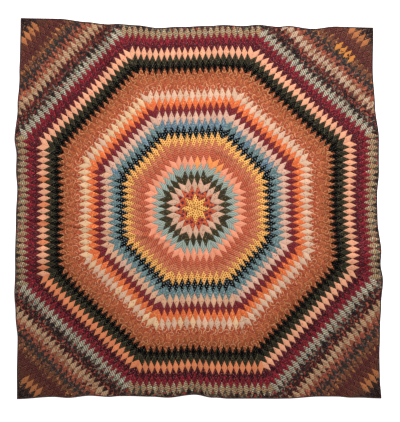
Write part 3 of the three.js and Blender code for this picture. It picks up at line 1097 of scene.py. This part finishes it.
def make_strip(side):
    strip = grid(f"binding_strip_{side}", STRIP_CELLS, (1, 1))
    share = places(strip)[:, :2] + 0.5
    station = np.rint(share[:, 0] * STRIP_CELLS[0]).astype(int)
    flat, line = side_line(side, np.linspace(0, 1, STRIP_CELLS[0] + 1))

    around, step = list(SIDES), 1 / STRIP_CELLS[0]
    at = around.index(side)
    arriving = side_line(around[at - 1], (1 - step, 1))[1]
    leaving = side_line(around[(at + 1) % len(around)], (0, step))[1]
    before = np.vstack([directions(arriving), directions(line)])
    after = np.vstack([directions(line), directions(leaving)])
    nudge = np.zeros_like(line)
    nudge[0], nudge[-1] = after[0] * MITRE_GAP, -before[-1] * MITRE_GAP

    across = path_at(share[:, 1])
    uneven = 1 + 0.02 * np.sin(station * 0.9) + 0.015 * np.sin(station * 0.37 + 1)
    out = outwards(before, after)[station] * (across[:, 0] * uneven)[:, None]
    height = fold_height(flat)[station] + across[:, 1]
    set_places(strip, np.column_stack([line[station] + nudge[station] + out, height]))
    on_strip = np.stack([station * (STRIP_LENGTH * step), share[:, 1] * STRIP_WIDTH], axis=1)
    set_maps(strip, cloth=on_strip[corner_vertices(strip)])
    return strip


def binding_cotton():
    f = Finish("binding_cotton", roughness=0.9, sheen=0.2)
    f.follow_cloth()
    fold = (f.v - STRIP_WIDTH / 2).abs()
    worn = fold.rise(4.0, 0.5) * f.noise(f.cloth, 0.05, detail=4).rise(0.45, 0.65)
    colour = f.mix(f.noise(f.cloth, 0.02, detail=3), linear((52, 34, 34)), linear((72, 46, 42)))
    colour = f.mix(worn * 0.6, colour, linear((128, 96, 80)))
    hem = (fold - (STRIP_WIDTH / 2 - HEM_INSET)).abs().rise(0.35, 0.2)
    dash = ((f.u / HEM_STITCH).fract() - 0.5).abs().rise(0.16, 0.12)
    colour = f.mix(hem * dash * 0.7, colour, linear((110, 84, 70)))
    f.join(colour, f.shader.inputs["Base Color"])
    puckers = f.noise(f.vector(f.u * 0.5, f.v * 0.12), 1.0, detail=2)
    f.relief(puckers * 0.35 - hem * dash * 0.3 + weave(f) * (WEAVE_DEPTH / MM))
    return f.material


strip_cotton = binding_cotton()
for side in SIDES:
    strip = make_strip(side)
    thick = strip.modifiers.new("folded cloth", "SOLIDIFY")
    thick.thickness = STRIP_THICKNESS
    thick.offset = -1
    apply_modifier(strip, thick)
    edit(strip)
    bpy.ops.mesh.select_all(action="SELECT")
    bpy.ops.mesh.normals_make_consistent(inside=False)
    done()
    strip.data.shade_smooth()
    strip.data.materials.append(strip_cotton)
    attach(strip, "root")
    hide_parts(f"binding_{side}")

# %% [markdown]
# The whole quilt is one sheet of cloth that lies on the floor.

# %% [markdown]
# The quilt was photographed on a white ground, lit from beyond its top edge and a little from the
# right, and the light is weaker towards the bottom. One lamp stands there, far off and low enough
# for the folds to show, and a pale world fills the shadows.

# %% Floor and light
FLOOR_SIZE = 24.0
FLOOR_DROP = 0.2 * MM  # below the quilt, so that the two never share a plane
LAMP = {"place": (1.5, 5.2, 4.1), "aim": (0, 1, 0), "size": 1.2, "power": 600}
WORLD_STRENGTH = 0.27


def make_floor():
    deselect()
    bpy.ops.mesh.primitive_plane_add(size=FLOOR_SIZE, location=(0, 0, -FLOOR_DROP))
    floor = bpy.context.object
    floor.name = "floor"
    f = Finish("white_ground", roughness=0.9)
    f.join(linear((255, 255, 255)), f.shader.inputs["Emission Color"])
    f.join(1.0, f.shader.inputs["Emission Strength"])
    floor.data.materials.append(f.material)


def make_lights():
    data = bpy.data.lights.new("studio_lamp", "AREA")
    data.shape = "DISK"
    data.size = LAMP["size"]
    data.energy = LAMP["power"]
    lamp = bpy.data.objects.new("studio_lamp", data)
    lamp.location = LAMP["place"]
    lamp.rotation_euler = (Vector(LAMP["aim"]) - lamp.location).to_track_quat("-Z", "Y").to_euler()
    bpy.context.collection.objects.link(lamp)
    world = bpy.data.worlds.new("soft_white")
    world.use_nodes = True
    background = world.node_tree.nodes["Background"]
    background.inputs["Color"].default_value = (1.0, 1.0, 1.0, 1.0)
    background.inputs["Strength"].default_value = WORLD_STRENGTH
    bpy.context.scene.world = world
    bpy.context.scene.view_settings.view_transform = "Standard"


make_floor()
make_lights()

# %% [markdown]
# Last, the scene is brought up to date. Cloth may stand a little proud of its solid, but the
# two have to agree.

# %% Finish
bpy.context.view_layer.update()
